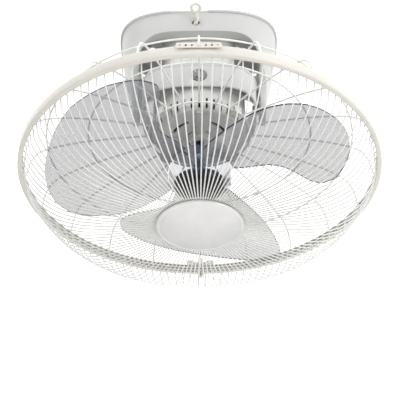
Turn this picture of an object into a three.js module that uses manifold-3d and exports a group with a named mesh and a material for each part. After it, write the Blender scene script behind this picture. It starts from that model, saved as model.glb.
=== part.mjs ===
// Orbital ceiling fan: a canopy with two side cheeks carries a gimbal ring, the motor hangs in the
// ring, and a slow crank on top of the motor drives the head round a cone. A wire guard in two
// halves, held by a rim band, closes round a three-bladed fan.
// Millimetres, +Z up, -Y is the side that faces the room. The origin is the middle of the face that
// lies on the ceiling, and everything hangs below it.
import * as THREE from "three";
import { mergeVertices } from "three/addons/utils/BufferGeometryUtils.js";
import Module from "manifold-3d";

const wasm = await Module();
wasm.setup();

// ---- driving dimensions -------------------------------------------------------------------------
const GAP = 0.35; // clearance between pieces that touch
const WALL = 2.5; // moulded walls
const GIMBAL_DROP = 118; // ceiling face to the two tilt axes
const RIM_DROP = 230; // ceiling face to the top of the rim band
const RIM_RADIUS = 240;
const BAND_HEIGHT = 14;
const BAND_WIDTH = 6.5;

const CANOPY = { halfWidth: 115, halfDepth: 78, roundness: 2.5, lipHeight: 3.5, lip: 2.5 };
const CHEEK = { inner: 84.8, eyeRadius: 24, bottom: 22 };
const ARCH = { top: 38, shoulder: 44, foot: 72, halfTop: 60 };
const LEG = { inner: 85.2, thick: 2.2, eyeRadius: 17, pinRadius: 3 };
const CORD_HOLE = { x: -4, z: -23.2, radius: 5.4 };
const PLATE = { halfWidth: 107.5, halfDepth: 70.5, thick: 2.2 };

const RING = { halfWidth: 80.5, halfDepth: 70.5, wall: 3, roundness: 3.2, top: 20, bottom: 19 };
const PIVOT_CAP_RADIUS = 10.5;

const MOTOR_RADIUS = 64.5;
const MOTOR = { face: 172, split: 131, shoulder: 108, top: 100, corner: 7, vents: 40 };
const SHAFT_RADIUS = 4.5;
const SHAFT_END = 257;
const BOSS_RADIUS = 13;

const HUB = { radius: 43, rear: 216, front: 247 };
const SPINNER = { radius: 34, front: 260 };
const BLADES = 3;
const BLADE = { root: 42, tip: 204.5, thick: 2, rows: 10, columns: 6 };

const GUARD_DEPTH = 84; // rim band top to the wires at the badge
const GUARD_POWER = 6.74; // how squarely the front guard's bowl turns its shoulder
const FRONT_WIRES = 120;
const REAR_WIRES = 20;
const WIRE = 1.3; // radius of the front wires
const REAR_WIRE = 1.5;
const RIM_WIRE_RADIUS = 235.5;
const BADGE = { radius: 57, wireRing: 53, bulge: 5 };
const REAR_RING = { inner: 70, drop: 166, middle: 152, outer: 207, clipBearing: 45 };
const REAR_SHOULDER = { radius: 212, drop: 190.5, skirt: 231.4 }; // where the rear dish turns down to the rim

const EAR_LOW = -REAR_RING.drop + 2.6; // underside of the ears that the guard clips close on

const HOOD = { halfWidth: 53, halfDepth: 55, roundness: 3.4, wall: 2, mouth: 80, flange: 6 };
const ORBIT = { crank: 18, ballDrop: 50, ballRadius: 6, discRadius: 26, discTop: 71, discThick: 5 };

// ---- materials ----------------------------------------------------------------------------------
const surface = (color, roughness = 0.5, metalness = 0, opacity = 1) =>
  new THREE.MeshStandardMaterial({ color, roughness, metalness, opacity, transparent: opacity < 1 });
const IVORY = surface("#e4e2da", 0.4);
const WHITE = surface("#eceae4", 0.45);
const PEARL = surface("#cfd2d8", 0.3, 0.2);
const WIRE_WHITE = surface("#efeee8", 0.35);
const SMOKE = surface("#9aa3b4", 0.15, 0, 0.55);
const NAVY = surface("#10162c", 0.25);
const STEEL = surface("#b9bbbd", 0.35, 0.9);
const DARK_STEEL = surface("#3c3e42", 0.45, 0.8);
const LAMINATION = surface("#6d6e70", 0.55, 0.7);
const COPPER = surface("#b0602c", 0.4, 0.8);
const BRONZE = surface("#9a7440", 0.45, 0.8);
const NYLON = surface("#d8d5c8", 0.5);
const BLACK = surface("#1d1d1f", 0.6);
const CORD = surface("#d9d7cc", 0.7);

// ---- solids -------------------------------------------------------------------------------------
// A closed three.js geometry as a solid, whichever way its faces were wound.
function solid(geometry) {
  const bare = geometry.clone();
  for (const name of Object.keys(bare.attributes)) if (name !== "position") bare.deleteAttribute(name);
  const merged = mergeVertices(bare, 1e-4);
  const vertProperties = new Float32Array(merged.attributes.position.array);
  const corners = Array.from(merged.index.array);
  const triVerts = [];
  let volume = 0;
  const at = (i) => new THREE.Vector3().fromArray(vertProperties, 3 * i);
  for (let i = 0; i < corners.length; i += 3) {
    const [a, b, c] = corners.slice(i, i + 3);
    if (a === b || b === c || a === c) continue;
    volume += at(a).dot(at(b).cross(at(c)));
    triVerts.push(a, b, c);
  }
  if (volume < 0) triVerts.reverse();
  return new wasm.Manifold(new wasm.Mesh({ numProp: 3, vertProperties, triVerts: new Uint32Array(triVerts) }));
}

const join = (...parts) => parts.flat().reduce((a, b) => a.add(b));
const cut = (body, ...tools) => tools.flat().reduce((a, b) => a.subtract(b), body);
const joinAll = (parts) => wasm.Manifold.union(parts);

function meshOf(body, name, material) {
  const m = body.asOriginal().simplify(0.05).getMesh();
  const positions = new Float32Array(m.numVert * 3);
  for (let i = 0; i < m.numVert; i++) {
    positions.set(m.vertProperties.subarray(i * m.numProp, i * m.numProp + 3), i * 3);
  }
  const geometry = new THREE.BufferGeometry();
  geometry.setAttribute("position", new THREE.BufferAttribute(positions, 3));
  geometry.setIndex(new THREE.BufferAttribute(m.triVerts, 1));
  geometry.computeVertexNormals();
  const mesh = new THREE.Mesh(geometry, material);
  mesh.name = name;
  return mesh;
}

const moved = (body, x = 0, y = 0, z = 0) => body.translate([x, y, z]);
const turned = (body, degrees) => body.rotate([0, 0, degrees]);
const aroundZ = (count, make, first = 0) =>
  Array.from({ length: count }, (_, i) => turned(make(i), first + (360 * i) / count));

// A profile of [radius, height] pairs revolved about Z. It starts and ends on the axis or closes.
function revolve(profile, segments = 36) {
  const points = profile.map(([r, z]) => new THREE.Vector2(Math.max(r, 0), z));
  return solid(new THREE.LatheGeometry(points, segments).rotateX(Math.PI / 2));
}
const closed = (profile) => [...profile, profile[0]];
const disc = (r, low, high, segments = 16) =>
  revolve([[0, low], [r, low], [r, high], [0, high]], segments);
const tube = (r, hole, low, high, segments = 20) =>
  revolve(closed([[hole, low], [r, low], [r, high], [hole, high]]), segments);

function box(x0, x1, y0, y1, z0, z1) {
  const g = new THREE.BoxGeometry(x1 - x0, y1 - y0, z1 - z0);
  return solid(g.translate((x0 + x1) / 2, (y0 + y1) / 2, (z0 + z1) / 2));
}

// A flat shape pushed along one axis. Along X its u, v lie on Y, Z; along Y they lie on X, Z.
const AXES = {
  x: [[0, 1, 0], [0, 0, 1], [1, 0, 0]],
  y: [[1, 0, 0], [0, 0, 1], [0, -1, 0]],
  z: [[1, 0, 0], [0, 1, 0], [0, 0, 1]],
};
function prism(shape, axis, low, high, curveSegments = 6) {
  const g = new THREE.ExtrudeGeometry(shape, { depth: high - low, bevelEnabled: false, curveSegments });
  const basis = AXES[axis].map((v) => new THREE.Vector3(...v));
  g.applyMatrix4(new THREE.Matrix4().makeBasis(...basis));
  const start = axis === "y" ? -high : low;
  return solid(g.translate(...basis[2].clone().multiplyScalar(start).toArray()));
}
const shapeOf = (points) => new THREE.Shape(points.map(([u, v]) => new THREE.Vector2(u, v)));

// A superellipse, the plan of the canopy and of the gimbal ring.
function oval(a, b, roundness, count = 36) {
  return Array.from({ length: count }, (_, i) => {
    const t = (2 * Math.PI * i) / count;
    const reach = (v, half) => half * Math.sign(v) * Math.abs(v) ** (2 / roundness);
    return [reach(Math.cos(t), a), reach(Math.sin(t), b)];
  });
}

// Oval sections [z, half width, half depth] skinned into one solid.
function loft(sections, roundness, count = 36) {
  const positions = [];
  const index = [];
  sections.forEach(([z, a, b]) => oval(a, b, roundness, count).forEach(([x, y]) => positions.push(x, y, z)));
  for (let s = 0; s + 1 < sections.length; s++) {
    for (let i = 0; i < count; i++) {
      const p = s * count + i;
      const q = s * count + ((i + 1) % count);
      index.push(p, q, q + count, p, q + count, p + count);
    }
  }
  const last = (sections.length - 1) * count;
  for (let i = 1; i + 1 < count; i++) index.push(0, i + 1, i, last, last + i, last + i + 1);
  const g = new THREE.BufferGeometry();
  g.setAttribute("position", new THREE.Float32BufferAttribute(positions, 3));
  g.setIndex(index);
  return solid(g);
}

// A path through given points, straight between them, with one step per point.
class Bends extends THREE.Curve {
  constructor(points) {
    super();
    this.points = points;
  }
  getPoint(t) {
    const along = t * (this.points.length - 1);
    const i = Math.min(Math.floor(along), this.points.length - 2);
    return this.points[i].clone().lerp(this.points[i + 1], along - i);
  }
  getPointAt(t) {
    return this.getPoint(t);
  }
  getTangentAt(t, target = new THREE.Vector3()) {
    const last = this.points.length - 1;
    const at = Math.round(t * last);
    const leg = (i) => this.points[i + 1].clone().sub(this.points[i]).normalize();
    target.set(0, 0, 0);
    if (at > 0) target.add(leg(at - 1));
    if (at < last) target.add(leg(at));
    return target.normalize();
  }
}

// A bar along a path of points [x, y, z], its section a regular figure of a few sides.
function bar(points, radius, sides = 3, smoothSteps = 0) {
  const vectors = points.map((p) => new THREE.Vector3(...p));
  const path = smoothSteps ? new THREE.CatmullRomCurve3(vectors) : new Bends(vectors);
  const steps = smoothSteps || points.length - 1;
  const corner = (i) => new THREE.Vector2(radius, 0).rotateAround(new THREE.Vector2(), (2 * Math.PI * i) / sides);
  const section = new THREE.Shape(Array.from({ length: sides }, (_, i) => corner(i)));
  return solid(new THREE.ExtrudeGeometry(section, { steps, bevelEnabled: false, extrudePath: path }));
}
// A wire hoop about Z, its flat sides facing in, out, up and down.
const hoop = (radius, z, wire, segments) =>
  tube(radius + wire, radius - wire, z - wire * 0.9, z + wire * 0.9, segments);
const alongX = (body) => body.rotate([0, 90, 0]);
const alongY = (body) => body.rotate([90, 0, 0]);

// ---- canopy, bracket and what they carry --------------------------------------------------------
const canopySections = (inset, high, low) => [
  [high, 112.5, 75.5],
  [-30, 110.5, 74.5],
  [-60, 106, 72],
  [-86, 99, 68],
  [-GIMBAL_DROP, 94.5, 62],
  [low, 92, 58],
].map(([z, a, b]) => [z, a - inset, b - inset]);

// The cheeks seen from the side: full depth under the ceiling, drawn in to a round eye at the pivot.
function cheekOutline(inset) {
  const top = CANOPY.halfDepth + 6 - inset;
  const eye = CHEEK.eyeRadius - inset;
  const s = new THREE.Shape();
  s.moveTo(-top, 2 + inset);
  s.lineTo(-top, -34);
  s.bezierCurveTo(-top, -72, -eye, -78, -eye, -GIMBAL_DROP);
  s.absarc(0, -GIMBAL_DROP, eye, Math.PI, 2 * Math.PI, false);
  s.bezierCurveTo(eye, -78, top, -72, top, -34);
  s.lineTo(top, 2 + inset);
  return s;
}

function archOutline() {
  const s = new THREE.Shape();
  s.moveTo(-CHEEK.inner, -160);
  s.lineTo(-CHEEK.inner, -ARCH.foot);
  s.bezierCurveTo(-CHEEK.inner + 6, -ARCH.shoulder, -ARCH.halfTop - 8, -ARCH.top, -ARCH.halfTop + 18, -ARCH.top);
  s.lineTo(ARCH.halfTop - 18, -ARCH.top);
  s.bezierCurveTo(ARCH.halfTop + 8, -ARCH.top, CHEEK.inner - 6, -ARCH.shoulder, CHEEK.inner, -ARCH.foot);
  s.lineTo(CHEEK.inner, -160);
  return s;
}

function canopyCover() {
  const lip = prism(shapeOf(oval(CANOPY.halfWidth, CANOPY.halfDepth, CANOPY.roundness)), "z", -CANOPY.lipHeight, 0);
  const skin = loft(canopySections(0, 0, -144), CANOPY.roundness);
  const hollow = loft(canopySections(WALL, 1, -150), CANOPY.roundness);
  const outer = join(skin.intersect(prism(cheekOutline(0), "x", -130, 130)), lip);
  const inner = hollow.intersect(prism(cheekOutline(WALL), "x", -130, 130));
  const arch = prism(archOutline(), "y", -90, 90);
  const lipNotch = box(-41, 14, -80, -CANOPY.halfDepth + 1.6, -CANOPY.lipHeight - 1, 1);
  const cordHole = moved(alongY(disc(CORD_HOLE.radius, 60, 90, 12)), CORD_HOLE.x, 0, CORD_HOLE.z);
  return cut(outer, inner, arch, lipNotch, cordHole);
}

// The steel yoke: a plate on the ceiling with a leg folded down each side to the tilt axis.
function ceilingBracket() {
  const plate = prism(shapeOf(oval(PLATE.halfWidth, PLATE.halfDepth, CANOPY.roundness)), "z", -PLATE.thick, 0);
  const leg = new THREE.Shape();
  leg.moveTo(-30, -1);
  leg.lineTo(-LEG.eyeRadius, -GIMBAL_DROP);
  leg.absarc(0, -GIMBAL_DROP, LEG.eyeRadius, Math.PI, 2 * Math.PI, false);
  leg.lineTo(30, -1);
  const eye = new THREE.Path();
  eye.absarc(0, -GIMBAL_DROP, LEG.pinRadius + 0.1, 0, 2 * Math.PI, true);
  leg.holes.push(eye);
  const right = prism(leg, "x", LEG.inner, LEG.inner + LEG.thick);
  const keyhole = (x) => join(moved(disc(5, -5, 5, 16), x, 0, 0), box(x, x + 12, -2.6, 2.6, -5, 5));
  const cableHole = moved(disc(9, -5, 5, 20), 30, 36, 0);
  return cut(join(plate, right, right.mirror([1, 0, 0])), keyhole(-68), keyhole(56), cableHole);
}

// A pan-head screw that points up, its head's top at z.
function screw(x, y, z, headRadius, shankRadius, length) {
  const dome = [[0, -3], [headRadius * 0.7, -2.6], [headRadius, -1], [headRadius, 0], [shankRadius, 0]];
  return moved(revolve([...dome, [shankRadius, length], [0, length]], 12), x, y, z);
}

// The pin that carries one side of the gimbal ring: a head outside the leg and a plain shank.
function pivotPin(side) {
  const out = LEG.inner + LEG.thick + GAP;
  const profile = [[0, RING.halfWidth - RING.wall - 1.5], [2.95, RING.halfWidth - RING.wall - 1.5]];
  profile.push([2.95, out], [5.5, out], [5.5, out + 2.2], [0, out + 2.2]);
  return moved(alongX(revolve(profile, 14)), 0, 0, -GIMBAL_DROP).rotate([0, 0, side > 0 ? 0 : 180]);
}

function terminalBlock() {
  const body = box(17, 41, -28, -14, -15, -PLATE.thick - GAP);
  const ways = [22, 29, 36].map((x) => moved(disc(2.4, -20, -9, 10), x, -21, 0));
  return cut(body, ways);
}

function runCapacitor() {
  const g = new THREE.Shape();
  g.moveTo(-35, -30);
  g.lineTo(-27, -30);
  g.absarc(-27, -22, 8, -Math.PI / 2, Math.PI / 2, false);
  g.lineTo(-35, -14);
  g.absarc(-35, -22, 8, Math.PI / 2, (3 * Math.PI) / 2, false);
  return prism(g, "z", -22, -PLATE.thick - GAP);
}

// The inner hood on the bracket: an oval skirt, open below, that hides the crank from the room. A flange
// turned inwards at the top takes its two screws.
function driveHood() {
  const { halfWidth: a, halfDepth: b, roundness: n, wall: w, mouth, flange } = HOOD;
  const top = -PLATE.thick - GAP;
  const skin = loft([[-mouth, a - 1, b - 4], [top, a, b]], n, 28);
  const inside = loft([[-mouth - 1, a - 1 - w, b - 4 - w], [top - w, a - w, b - w]], n, 28);
  const opening = loft([[-20, a - w - flange, b - w - flange], [1, a - w - flange, b - w - flange]], n, 28);
  return cut(skin, inside, opening);
}

// The socket on the fan's centre line that the crank's ball works in.
function orbitSocket() {
  const post = revolve([[0, -PLATE.thick - GAP], [16, -PLATE.thick - GAP], [16, -6], [12.5, -8], [12.5, -40],
    [7.2, -40], [7.2, -28], [0, -28]], 20);
  return post;
}

// A loop of two-strand cord that comes out of the canopy's front wall: out, round and back.
function safetyCord() {
  const start = new THREE.Vector3(CORD_HOLE.x, -71, -24.8);
  const neck = new THREE.Vector3(CORD_HOLE.x, -87.5, -15.2);
  const along = neck.clone().sub(start);
  const forward = along.clone().normalize();
  const side = new THREE.Vector3(1, 0, 0);
  const normal = forward.clone().cross(side);
  const spread = 2.15;
  const twistSteps = 8;
  const strand = (t, phase) => {
    const angle = phase + 2 * Math.PI * t;
    const p = start.clone().addScaledVector(along, t);
    return p.addScaledVector(side, spread * Math.cos(angle)).addScaledVector(normal, spread * Math.sin(angle));
  };
  const eye = [[5, 3], [6.1, 6.4], [4.6, 9.8], [0, 11.6], [-4.6, 9.8], [-6.1, 6.4], [-5, 3]];
  const points = [];
  for (let i = 0; i <= twistSteps; i++) points.push(strand(i / twistSteps, 0));
  eye.forEach(([w, f]) => points.push(neck.clone().addScaledVector(side, w).addScaledVector(forward, f)));
  for (let i = twistSteps; i >= 0; i--) points.push(strand(i / twistSteps, Math.PI));
  return bar(points.map((p) => p.toArray()), 1.4, 6, 44);
}

// ---- gimbal ring --------------------------------------------------------------------------------
function gimbalRing() {
  const { halfWidth: a, halfDepth: b, wall: w, roundness: n } = RING;
  const high = -GIMBAL_DROP + RING.top;
  const low = -GIMBAL_DROP - RING.bottom;
  const body = loft([[low, a - 0.6, b - 0.6], [high - 4, a, b]], n);
  const lip = loft([[high - 4, a, b], [high - 3, a + 1.6, b + 1.6], [high, a + 1.6, b + 1.6]], n);
  const inside = loft([[low - 1, a - w, b - w], [high + 1, a - w, b - w]], n);
  const z = -GIMBAL_DROP;
  const sideEye = (r) => moved(alongX(disc(r, -90, 90, 20)), 0, 0, z);
  const frontEye = (r) => moved(alongY(disc(r, -90, 90, 20)), 0, 0, z);
  const sideBoss = [-1, 1].map((s) => moved(alongX(disc(9, a - w - 3, a + 2.2, 20)), 0, 0, z).rotate([0, 0, s < 0 ? 180 : 0]));
  return cut(join(cut(join(body, lip), inside), sideBoss), sideEye(5), frontEye(PIVOT_CAP_RADIUS + GAP));
}

// The flanged bush that lines the ring's eye on one side.
function ringBush(side) {
  const { halfWidth: a, wall: w } = RING;
  const outer = a + 2.2;
  const profile = closed([[3.25, a - w - 3], [4.65, a - w - 3], [4.65, outer + GAP], [7, outer + GAP], [7, outer + 1.3],
    [3.25, outer + 1.3]]);
  return moved(alongX(revolve(profile, 16)), 0, 0, -GIMBAL_DROP).rotate([0, 0, side > 0 ? 0 : 180]);
}

// The front and rear pivots: a dished cap pressed into the ring with a stub shaft towards the motor.
function headPivot(front) {
  const b = RING.halfDepth;
  const r = PIVOT_CAP_RADIUS;
  const profile = [[0, b - 13], [3.9, b - 13], [3.9, b - 3.2], [r, b - 3.2], [r, b + 1.2], [r - 1.4, b + 1.2]];
  profile.push([r - 3, b - 1], [0, b - 1.6]);
  return moved(alongY(revolve(profile, 18)), 0, 0, -GIMBAL_DROP).rotate([0, 0, front ? 0 : 180]);
}

// ---- motor --------------------------------------------------------------------------------------
function motorFrontCover() {
  const { face, split, corner, vents } = MOTOR;
  const r = MOTOR_RADIUS;
  const boss = BOSS_RADIUS;
  const nose = [[SHAFT_RADIUS + 1, -face - 7], [boss - 1, -face - 7], [boss, -face]];
  const bend = [[r - corner, -face], [r - 2, -face + 2], [r, -face + corner]];
  const rim = [[r, -split - GAP], [r - WALL, -split - GAP], [r - WALL, -face + corner], [r - corner, -face + WALL]];
  const pocket = [[boss, -face + WALL], [boss, -face + 10], [8.2, -face + 10], [8.2, -face - 4], [SHAFT_RADIUS + 1, -face - 4]];
  const shell = turned(revolve(closed([...nose, ...bend, ...rim, ...pocket]), vents), 180 / vents);
  const ribs = aroundZ(4, () => box(boss - 2, r - corner, -3.4, 3.4, -face - 2.4, -face + 1));
  const sideVent = () => box(r - 6, r + 3, -1.2, 1.2, -face + corner + 1, -face + corner + 13);
  const clearOfEars = (_, i) => Math.abs((((360 * i) / vents) % 90) - REAR_RING.clipBearing) > 8;
  const sideVents = aroundZ(vents, sideVent).filter(clearOfEars);
  const faceVent = () => {
    const s = new THREE.Shape();
    s.absarc(0, 0, 40, 0.35, 1.22, false);
    s.absarc(0, 0, 34, 1.22, 0.35, true);
    return prism(s, "z", -face - 5, -face + 6, 3);
  };
  const faceVents = aroundZ(4, faceVent);
  const ears = aroundZ(4, () => box(r - 2, r + 9.5, -7, 7, EAR_LOW, EAR_LOW + 4), REAR_RING.clipBearing);
  return cut(join(shell, ribs, ears), sideVents, faceVents);
}

function motorRearCover() {
  const { split, shoulder, top } = MOTOR;
  const r = MOTOR_RADIUS;
  const outer = [[r, -split], [r, -shoulder - 3], [r - 4, -shoulder + 2], [r - 16, -top]];
  const mouth = [[10, -top], [10, -top - 10], [8.2, -top - 10], [8.2, -top - 18], [12, -top - 18], [12, -top - WALL]];
  const inner = [[r - 16, -top - WALL], [r - 5, -shoulder - 1.5], [r - WALL, -shoulder - 4.5], [r - WALL, -split]];
  const shell = revolve(closed([...outer, ...mouth, ...inner]), 32);
  const boss = (a) => turned(moved(alongY(disc(12, r - 7, r + 1, 16)), 0, 0, -GIMBAL_DROP), a);
  const bossLimit = box(-30, 30, -80, 80, -split + 0.1, -shoulder - 1);
  const eye = moved(alongY(disc(4.2, -80, 80, 16)), 0, 0, -GIMBAL_DROP);
  return cut(join(shell, join(boss(0), boss(180)).intersect(bossLimit)), eye);
}

function statorCore() {
  const slots = aroundZ(8, () => box(26, 44, -2.2, 2.2, -163, -133));
  return cut(tube(58, 30.4, -160, -136, 24), slots);
}
const coilHead = (low, high) =>
  revolve(closed([[34, low], [48, low], [50, low + 2], [50, high - 2], [48, high], [34, high]]), 24);
const bearing = (low) => tube(7.9, SHAFT_RADIUS + 0.35, low, low + 8, 16);

function orbitMotor() {
  const can = revolve([[0, -99.6], [26, -99.6], [26, -84], [25, -83], [6, -83], [6, -81], [3.4, -81], [3.4, -72.5],
    [0, -72.5]], 20);
  const ears = [0, 180].map((a) => cut(turned(box(22, 36, -6, 6, -99.6, -98), a), turned(moved(disc(2, -105, -90, 10), 31, 0, 0), a)));
  return join(can, ears);
}

// ---- crank on top of the head -------------------------------------------------------------------
function crankDisc() {
  const { discRadius: r, discTop, discThick } = ORBIT;
  const low = -discTop - discThick;
  const plate = revolve(closed([[3.7, low - 3.5], [7.5, low - 3.5], [7.5, low], [r, low], [r, -discTop - 1],
    [r - 1, -discTop], [3.7, -discTop]]), 24);
  const eye = moved(disc(3.3, -90, -60, 12), ORBIT.crank, 0, 0);
  return cut(plate, eye);
}

function crankBall() {
  const { ballDrop: d, ballRadius: r, crank, discTop, discThick } = ORBIT;
  const low = -discTop - discThick;
  const ball = Array.from({ length: 6 }, (_, i) => {
    const t = -Math.PI / 2 + 0.62 + ((Math.PI - 0.62) * i) / 5;
    return [r * Math.cos(t), -d + r * Math.sin(t)];
  });
  ball[ball.length - 1] = [0, -d + r];
  const stem = [[0, low - 2.2], [5, low - 2.2], [5, low - GAP], [3, low - GAP], [3, -discTop + GAP], [5, -discTop + GAP]];
  return moved(revolve([...stem, [5, -discTop + 2], [3.2, -discTop + 3], ...ball], 14), crank, 0, 0);
}

// ---- rotor: shaft, rotor core, hub with blades, spinner -----------------------------------------
function shaft() {
  const r = SHAFT_RADIUS;
  return revolve([[0, -SHAFT_END], [r - 0.6, -SHAFT_END], [r, -SHAFT_END + 1], [r, -102.6], [0, -102.6]], 16);
}
function rotorCore() {
  const bars = aroundZ(8, () => box(27.6, 31, -0.9, 0.9, -164, -132));
  return cut(tube(29.2, SHAFT_RADIUS + GAP, -160.4, -135.4, 20), bars);
}
// The collar that the hub's sleeve seats against.
function shaftCollar() {
  return tube(8, SHAFT_RADIUS + GAP, -209, -203, 16);
}

const lerpAlong = (stations, radius) => {
  const r = Math.min(radius, stations.at(-1)[0]);
  const i = Math.max(1, stations.findIndex(([s]) => r <= s));
  const [r0, v0] = stations[i - 1];
  const [r1, v1] = stations[i];
  const t = (r - r0) / (r1 - r0);
  return v0 + (v1 - v0) * t;
};
// Stations of one blade: radius and the bearing, in degrees, of its leading and trailing edges.
const LEADING = [[40, -91.2], [90, -86.5], [140, -78], [176, -71], [192, -65.5], [200, -60], [204.5, -52]];
const TRAILING = [[40, 6], [73, -1], [90, -3], [106, -1], [139, 9.6], [155, 13], [172, 13], [188, 7], [200, -8], [204.5, -22]];
const BLADE_PITCH = { height: 8.5, slope: 0.13, wash: 0.14, camber: 9.5, bearing: -4.5 };
function bladePoint(r, across, lift) {
  const lead = lerpAlong(LEADING, r);
  const bearing = lead + (lerpAlong(TRAILING, r) - lead) * across;
  const p = BLADE_PITCH;
  const u = THREE.MathUtils.degToRad(bearing - p.bearing) * r;
  const z = p.height + u * (p.slope - (p.wash * (r - 120)) / 100) - p.camber * (u / 100) ** 2;
  const a = THREE.MathUtils.degToRad(bearing);
  return [r * Math.cos(a), r * Math.sin(a), z - RIM_DROP + lift];
}
function blade() {
  const { root, tip, thick, rows, columns } = BLADE;
  const radii = Array.from({ length: rows }, (_, i) => root + (tip - root) * Math.sin((Math.PI / 2) * (i / (rows - 1))) ** 0.8);
  const positions = [];
  for (const lift of [thick / 2, -thick / 2]) {
    for (const r of radii) for (let c = 0; c <= columns; c++) positions.push(...bladePoint(r, c / columns, lift));
  }
  const at = (side, row, c) => side * rows * (columns + 1) + row * (columns + 1) + c;
  const index = [];
  const quad = (a, b, c, d) => index.push(a, b, c, a, c, d);
  for (let row = 0; row + 1 < rows; row++) {
    for (let c = 0; c < columns; c++) {
      quad(at(0, row, c), at(0, row + 1, c), at(0, row + 1, c + 1), at(0, row, c + 1));
      quad(at(1, row, c), at(1, row, c + 1), at(1, row + 1, c + 1), at(1, row + 1, c));
    }
    quad(at(1, row, 0), at(1, row + 1, 0), at(0, row + 1, 0), at(0, row, 0));
    quad(at(0, row, columns), at(0, row + 1, columns), at(1, row + 1, columns), at(1, row, columns));
  }
  for (let c = 0; c < columns; c++) {
    quad(at(0, 0, c), at(0, 0, c + 1), at(1, 0, c + 1), at(1, 0, c));
    quad(at(1, rows - 1, c), at(1, rows - 1, c + 1), at(0, rows - 1, c + 1), at(0, rows - 1, c));
  }
  const g = new THREE.BufferGeometry();
  g.setAttribute("position", new THREE.Float32BufferAttribute(positions, 3));
  g.setIndex(index);
  return solid(g);
}
function bladeSet() {
  const { radius: r, rear, front } = HUB;
  const cup = revolve(closed([[r - 2, -rear], [r, -rear], [r, -front + 3], [r - 3, -front], [SHAFT_RADIUS + GAP, -front],
    [SHAFT_RADIUS + GAP, -rear + 4], [10, -rear + 4], [10, -front + 3], [r - 4, -front + 3], [r - 2, -front + 5]]), 28);
  const spokes = aroundZ(3, () => box(9, r - 1, -0.9, 0.9, -front + 1, -front + 12), 10);
  const blades = aroundZ(BLADES, blade);
  const core = disc(r - 1.6, -front - 20, -front + 60, 28);
  return joinAll([cup, ...spokes, ...blades.map((b) => b.subtract(core))]);
}
function spinnerNut() {
  const { radius: r, front } = SPINNER;
  const skin = [[0, -front], [r - 9, -front + 1], [r - 2, -front + 5], [r, -HUB.front - GAP]];
  const under = [[r - 2.5, -HUB.front - GAP], [r - 2.5, -HUB.front - 2.4], [10, -HUB.front - 3], [10, -HUB.front - GAP]];
  const bore = [[SHAFT_RADIUS + GAP, -HUB.front - GAP], [SHAFT_RADIUS + GAP, -SHAFT_END - GAP], [0, -SHAFT_END - GAP]];
  return revolve([...skin, ...under, ...bore], 24);
}

// ---- guards and rim -----------------------------------------------------------------------------
const bowl = (r) => -RIM_DROP - GUARD_DEPTH * (1 - (r / RIM_RADIUS) ** GUARD_POWER) ** (1 / 1.07);
const FRONT_RIM_Z = -RIM_DROP - 9.6;
const REAR_RIM_Z = -RIM_DROP - 4.4;

function frontGuard() {
  const { wireRing } = BADGE;
  const path = [[RIM_WIRE_RADIUS, FRONT_RIM_Z], [231.2, FRONT_RIM_Z - 1.6]];
  for (const r of [222, 202, 168, wireRing]) path.push([r, bowl(r)]);
  const wire = bar(path.map(([r, z]) => [r, 0, z]), WIRE, 3);
  const wires = aroundZ(FRONT_WIRES, () => wire, 180 / FRONT_WIRES);
  const rim = tube(RIM_WIRE_RADIUS + 1.5, RIM_WIRE_RADIUS - 1.5, FRONT_RIM_Z - 2.2, FRONT_RIM_Z + 2, 60);
  const centre = hoop(wireRing, bowl(wireRing), 1.7, 40);
  return joinAll([rim, centre, ...wires]);
}

// The rear guard's meridian: a shallow dish from the inner hoop to a round shoulder, then a steep skirt
// that turns out under the rim band to the rim hoop.
function rearMeridian() {
  const { inner, drop } = REAR_RING;
  const { radius, drop: low, skirt } = REAR_SHOULDER;
  const point = (r, z) => new THREE.Vector2(r, z);
  const foot = point(skirt, REAR_RIM_Z + 2.2);
  const turn = point(radius, -low);
  const dish = new THREE.CubicBezierCurve(point(inner, -drop), point(150, -drop), point(190, -drop - 14), turn);
  const shoulder = new THREE.CubicBezierCurve(turn, point(radius + 12, -low - 5), point(skirt - 1, -low - 20), foot);
  return [...dish.getPoints(2), ...shoulder.getPoints(3).slice(1), point(RIM_WIRE_RADIUS, REAR_RIM_Z)];
}
function rearGuard() {
  const { inner, middle, outer } = REAR_RING;
  const meridian = rearMeridian().map(({ x, y }) => [x, y]);
  const rearHeight = (r) => lerpAlong(meridian, r);
  const wire = bar(meridian.map(([r, z]) => [r, 0, z]), REAR_WIRE, 3);
  const wires = aroundZ(REAR_WIRES, () => wire);
  const ridge = (r, z, segments) => revolve(closed([[r - 1.5, z - 1], [r + 1.5, z - 1], [r, z + 1.7]]), segments);
  const hoops = [ridge(inner, rearHeight(inner), 36), ridge(middle, rearHeight(middle) + 1, 40)];
  hoops.push(ridge(outer, rearHeight(outer) + 1, 40), ridge(RIM_WIRE_RADIUS, REAR_RIM_Z, 60));
  return joinAll([...hoops, ...wires]);
}

function rimBand() {
  const r = RIM_RADIUS;
  const top = -RIM_DROP;
  const low = top - BAND_HEIGHT;
  const lip = r - BAND_WIDTH;
  const profile = closed([[lip, top], [r, top], [r, low], [lip, low], [lip, low + 1.4], [r - 2, low + 1.4],
    [r - 2, top - 1.4], [lip, top - 1.4]]);
  const ring = revolve(profile, 60);
  const split = box(-0.8, 0.8, r - 12, r + 12, low - 4, top + 4);
  return cut(ring, split);
}

// The low plate that covers the band's joint on the room side: a small lug between two rows of three holes.
function bandJoint() {
  const front = -RIM_RADIUS - 0.4;
  const plate = prism(shapeOf([[-27, -RIM_DROP - 9], [27, -RIM_DROP - 9], [25, -RIM_DROP + 2], [-25, -RIM_DROP + 2]]),
    "y", front - 4.2, front - 1.4);
  const lug = box(-3, 3, front - 5, front - 1, -RIM_DROP - 7, -RIM_DROP + 3.4);
  const holes = [-21.5, -14.8, -8, 8, 14.8, 21.5].map((x) => moved(alongY(disc(1.7, 230, 260, 8)), x, 0, -RIM_DROP - 4));
  return cut(join(plate, lug), holes);
}

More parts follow.
